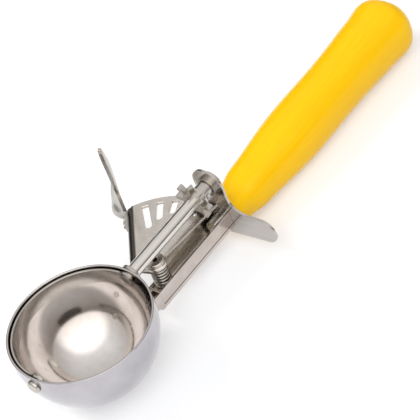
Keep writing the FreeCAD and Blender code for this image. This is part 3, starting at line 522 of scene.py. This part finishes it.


# Lever: a fan blanked from 1.2 mm sheet. Five slots mesh with the pinion, and its left edge
# is turned down into a lip that the thumb tab is riveted to. The sheet is satin and pale,
# with a dark strip painted along the bend: a painted reflection of the dark it would mirror.

def blanked_stainless():
    """Satin sheet with a painted dark strip over the round of its bend, a painted reflection."""
    pivot = Vector((39.8, 0.0, 0.0)) * MM
    lip_lean = math.radians(41.5)
    lip_side = Vector((-math.sin(lip_lean), math.cos(lip_lean), 0.0))
    bend_start, bend_full = 6.9 * MM, 7.4 * MM
    strip_bottom, strip_full = -7.9 * MM, -7.1 * MM
    material = rolled_stainless("satin_blanked_stainless_painted_bend", "Y", ("#D2CCC5", "#DDD8D2"), 0.22, 0.28)
    point = add(material, "ShaderNodeTexCoord").outputs["Object"]
    from_pivot = add(
        material, "ShaderNodeVectorMath", {0: point, 1: pivot}, operation="SUBTRACT",
    )
    sideways = add(
        material, "ShaderNodeVectorMath", {0: from_pivot.outputs["Vector"], 1: lip_side},
        operation="DOT_PRODUCT",
    )
    beyond = add(
        material, "ShaderNodeMapRange",
        {"Value": sideways.outputs["Value"], "From Min": bend_start, "From Max": bend_full},
    )
    height = add(material, "ShaderNodeSeparateXYZ", {"Vector": point}).outputs["Z"]
    above = add(
        material, "ShaderNodeMapRange",
        {"Value": height, "From Min": strip_bottom, "From Max": strip_full},
    )
    painted_reflection_on_bend = add(
        material, "ShaderNodeMath", {0: beyond.outputs["Result"], 1: above.outputs["Result"]},
        operation="MULTIPLY",
    )
    # Painted reflection: the bend's round is painted dark, for the dark surroundings it mirrors.
    darken(material, painted_reflection_on_bend.outputs["Value"], "#57534F")
    return material


fan = eased("lever_plate", "lever")
fan.data.materials.append(blanked_stainless())


# Thumb tab: a pressed and twisted tongue of 1.3 mm sheet, riveted to the lever's lip. The
# thumb has worn it a little smoother and darker than the fan.

# The easing is clamped, because on the tongue's narrow tip it would run past the steel.
tab = eased("thumb_tab", "lever", clamp=True)
tab.data.materials.append(
    rolled_stainless("thumb_worn_stainless", "Z", ("#B0ACA8", "#BFBCB8"), 0.16, 0.26)
)


# Pinion: an eight-finger star with a flange and a hub, pinned through the spindle.
# Sintered and tumbled, so it is a little greyer than the sheet and finely pitted.

def sintered_steel():
    """Pressed and sintered powder, with a pitted skin."""
    # Real pores are about 0.1 mm across. They are drawn at 0.25 mm, so that they show.
    pore_size = 0.25 * MM
    material, point = start_material("sintered_tumbled_steel")
    pores = add(
        material, "ShaderNodeTexNoise", {"Vector": point, "Scale": 1 / pore_size, "Detail": 3.0},
    )
    haze = add(
        material, "ShaderNodeMapRange",
        {
            "Value": pores.outputs["Fac"], "From Min": 0.3, "From Max": 0.7,
            "To Min": 0.14, "To Max": 0.26,
        },
    )
    relief = add(
        material, "ShaderNodeBump",
        {"Height": pores.outputs["Fac"], "Strength": 0.2, "Distance": 0.02 * MM},
    )
    return surface(material, {
        "Base Color": ramp(material, pores.outputs["Fac"], [(0.3, "#B4AFA9"), (0.7, "#C6C1BB")]),
        "Metallic": 1.0, "Roughness": haze.outputs["Result"], "Normal": relief.outputs["Normal"],
    })


sintered = sintered_steel()
for name in ("pinion", "pinion_flange", "pinion_pin"):
    give(name, sintered)


# Scraper: a 0.8 mm spring-hard strip bent to the inside of the bowl, which the spindle sweeps
# from rim to rim. Rolling leaves it a close grain and a soft shine.

scraper = eased("scraper_blade", "rotor", edge=0.1 * MM)
scraper.data.materials.append(
    rolled_stainless("spring_hard_strip", "X", ("#B3AEA8", "#C0BBB6"), 0.14, 0.24)
)


# Floor: a plain pale table, which touches the bowl's underside and the handle's tail.
# A faint glow, which the camera and reflections see, makes it white, and the shadow stays.

floor_mesh = bpy.data.meshes.new("table_top")
reach = 3.0
lean = 0.0189
rest_height = -27.35 * MM
glow_level = 0.33
corners = ((-reach, -reach), (reach, -reach), (reach, reach), (-reach, reach))
floor_mesh.from_pydata(
    [(x, y, rest_height - lean * x) for x, y in corners], [], [(0, 1, 2, 3)],
)
floor = bpy.data.objects.new("table", floor_mesh)
bpy.context.scene.collection.objects.link(floor)
table_top = bpy.data.materials.new("matt_white_table")
table_top.use_nodes = True
table_top.node_tree.nodes.clear()
ray = add(table_top, "ShaderNodeLightPath")
seen = add(
    table_top, "ShaderNodeMath",
    {0: ray.outputs["Is Camera Ray"], 1: ray.outputs["Is Glossy Ray"]}, operation="ADD",
)
seen_through = add(
    table_top, "ShaderNodeMath",
    {0: seen.outputs["Value"], 1: ray.outputs["Is Transmission Ray"]}, operation="ADD",
)
glow = add(
    table_top, "ShaderNodeMath", {0: seen_through.outputs["Value"], 1: glow_level},
    operation="MULTIPLY",
)
white = add(
    table_top, "ShaderNodeEmission",
    {"Color": colour("#FFFFFF"), "Strength": glow.outputs["Value"]},
)
paint = add(table_top, "ShaderNodeBsdfDiffuse", {"Color": colour("#E1E3E6")})
both = add(
    table_top, "ShaderNodeAddShader", {0: white.outputs["Emission"], 1: paint.outputs["BSDF"]},
)
add(table_top, "ShaderNodeOutputMaterial", {"Surface": both.outputs["Shader"]})
floor_mesh.materials.append(table_top)


# Studio: a white tent, brighter toward the front, with a softbox on it that the bowl mirrors.
# Two broad lamps light the scoop and throw its soft shadow, but show in no reflection.
# Dark cards, which only reflections see, give the steel its dark edges.

world = bpy.data.worlds.new("tent")
bpy.context.scene.world = world
world.use_nodes = True
world.node_tree.nodes.clear()
heading = add(world, "ShaderNodeTexCoord").outputs["Generated"]
rise = add(world, "ShaderNodeSeparateXYZ", {"Vector": heading}).outputs["Z"]
cloth = ramp(
    world, rise, [(0.0, "#A39C96"), (0.2, "#BDB7B1"), (0.5, "#E3DFDB"), (0.9, "#FFFFFF")],
)

# The limits are cosines: the front fades over 32 to 70 degrees from its middle, and the
# softbox over 28 to 50.
front_middle = Vector((-0.5, -0.55, 0.67)).normalized()
softbox_middle = Vector((-0.4, -0.69, 0.6)).normalized()
to_front = add(
    world, "ShaderNodeVectorMath", {0: heading, 1: front_middle}, operation="DOT_PRODUCT",
)
front = add(
    world, "ShaderNodeMapRange",
    {
        "Value": to_front.outputs["Value"], "From Min": 0.35, "From Max": 0.85,
        "To Min": 0.95, "To Max": 1.2,
    },
    interpolation_type="SMOOTHSTEP",
)
to_softbox = add(
    world, "ShaderNodeVectorMath", {0: heading, 1: softbox_middle}, operation="DOT_PRODUCT",
)
glare = add(
    world, "ShaderNodeMapRange",
    {
        "Value": to_softbox.outputs["Value"], "From Min": 0.64, "From Max": 0.88,
        "To Min": 0.0, "To Max": 1.1,
    },
    interpolation_type="SMOOTHSTEP",
)

# The softbox has a crisp lower edge, 13 to 20 degrees above the horizon.
sill = add(
    world, "ShaderNodeMapRange", {"Value": rise, "From Min": 0.22, "From Max": 0.34},
    interpolation_type="SMOOTHSTEP",
)
bright = add(
    world, "ShaderNodeMath",
    {0: glare.outputs["Result"], 1: sill.outputs["Result"], 2: front.outputs["Result"]},
    operation="MULTIPLY_ADD",
)

# The tent lights matt surfaces at half of what the steel mirrors, so that colours stay plain.
diffuse_share = 0.5
path = add(world, "ShaderNodeLightPath")
share = add(
    world, "ShaderNodeMapRange",
    {"Value": path.outputs["Is Diffuse Ray"], "To Min": 1.0, "To Max": diffuse_share},
)
level = add(
    world, "ShaderNodeMath", {0: bright.outputs["Value"], 1: share.outputs["Result"]},
    operation="MULTIPLY",
)
backdrop = add(world, "ShaderNodeBackground", {"Color": cloth, "Strength": level.outputs["Value"]})
add(world, "ShaderNodeOutputWorld", {"Surface": backdrop.outputs["Background"]})


def lamp(name, target, toward, distance, width, power, tint):
    """A broad soft lamp that faces the scoop and shows in no reflection."""
    light = bpy.data.lights.new(name, "AREA")
    light.shape = "DISK"
    light.size = width
    light.energy = power
    light.color = colour(tint)[:3]
    holder = bpy.data.objects.new(name, light)
    bpy.context.scene.collection.objects.link(holder)
    way = Vector(toward).normalized()
    holder.location = Vector(target) + way * distance
    holder.rotation_euler = way.to_track_quat("Z", "Y").to_euler()
    holder.visible_glossy = False


lamp(
    "key_lamp", target=(0.06, 0.0, -0.01), toward=(-0.4, 0.85, 0.95), distance=1.1,
    width=0.5, power=4.6, tint="#FFFCF6",
)
lamp(
    "front_softbox", target=(0.08, 0.0, 0.0), toward=(-0.4, -0.5, 0.75), distance=0.9,
    width=0.9, power=3.4, tint="#FFFFFF",
)


def dark_card(name, centre, width, height, code):
    """An upright card that faces the scoop, and that only reflections see."""
    card = bpy.data.meshes.new(name)
    middle = Vector(centre)
    side = Vector((0, 0, 1)).cross(middle).normalized() * (width / 2)
    top = Vector((0, 0, height / 2))
    card.from_pydata(
        [middle - side - top, middle + side - top, middle + side + top, middle - side + top],
        [], [(0, 1, 2, 3)],
    )
    holder = bpy.data.objects.new(name, card)
    bpy.context.scene.collection.objects.link(holder)
    for ray_kind in ("camera", "diffuse", "transmission", "shadow"):
        setattr(holder, "visible_" + ray_kind, False)
    felt = bpy.data.materials.new(name + "_felt")
    felt.use_nodes = True
    felt.node_tree.nodes.clear()
    tone = add(felt, "ShaderNodeEmission", {"Color": colour(code), "Strength": 1.0})
    add(felt, "ShaderNodeOutputMaterial", {"Surface": tone.outputs["Emission"]})
    card.materials.append(felt)


dark_card("far_card", centre=(0.12, 0.45, 0.13), width=0.7, height=0.34, code="#625B55")
dark_card("right_card", centre=(0.1, -0.6, 0.04), width=0.5, height=0.16, code="#6E655E")
dark_card("left_card", centre=(-0.6, 0.15, 0.05), width=0.35, height=0.18, code="#6A5F57")


# Camera: a long lens above the bowl's near side, which looks down the scoop to its tail at
# the photograph's angle. Its place, aim and lens were fitted to the photograph.

viewpoint = Vector((-0.25572, -0.43349, 0.49040))
view_right = Vector((0.5827, -0.7630, -0.2798)).normalized()
view_ahead = Vector((0.4432, 0.5870, -0.6775)).normalized()
view_right = (view_right - view_ahead * view_right.dot(view_ahead)).normalized()
view_up = view_right.cross(view_ahead)
camera = bpy.data.objects.new("camera", bpy.data.cameras.new("camera"))
bpy.context.scene.collection.objects.link(camera)
camera.data.sensor_width = 36.0
camera.data.lens = 171.43
camera.data.clip_start = 0.01
camera.matrix_world = Matrix.Translation(viewpoint) @ Matrix((
    (view_right.x, view_up.x, -view_ahead.x),
    (view_right.y, view_up.y, -view_ahead.y),
    (view_right.z, view_up.z, -view_ahead.z),
)).to_4x4()
bpy.context.scene.camera = camera
bpy.context.scene.view_settings.view_transform = "Standard"
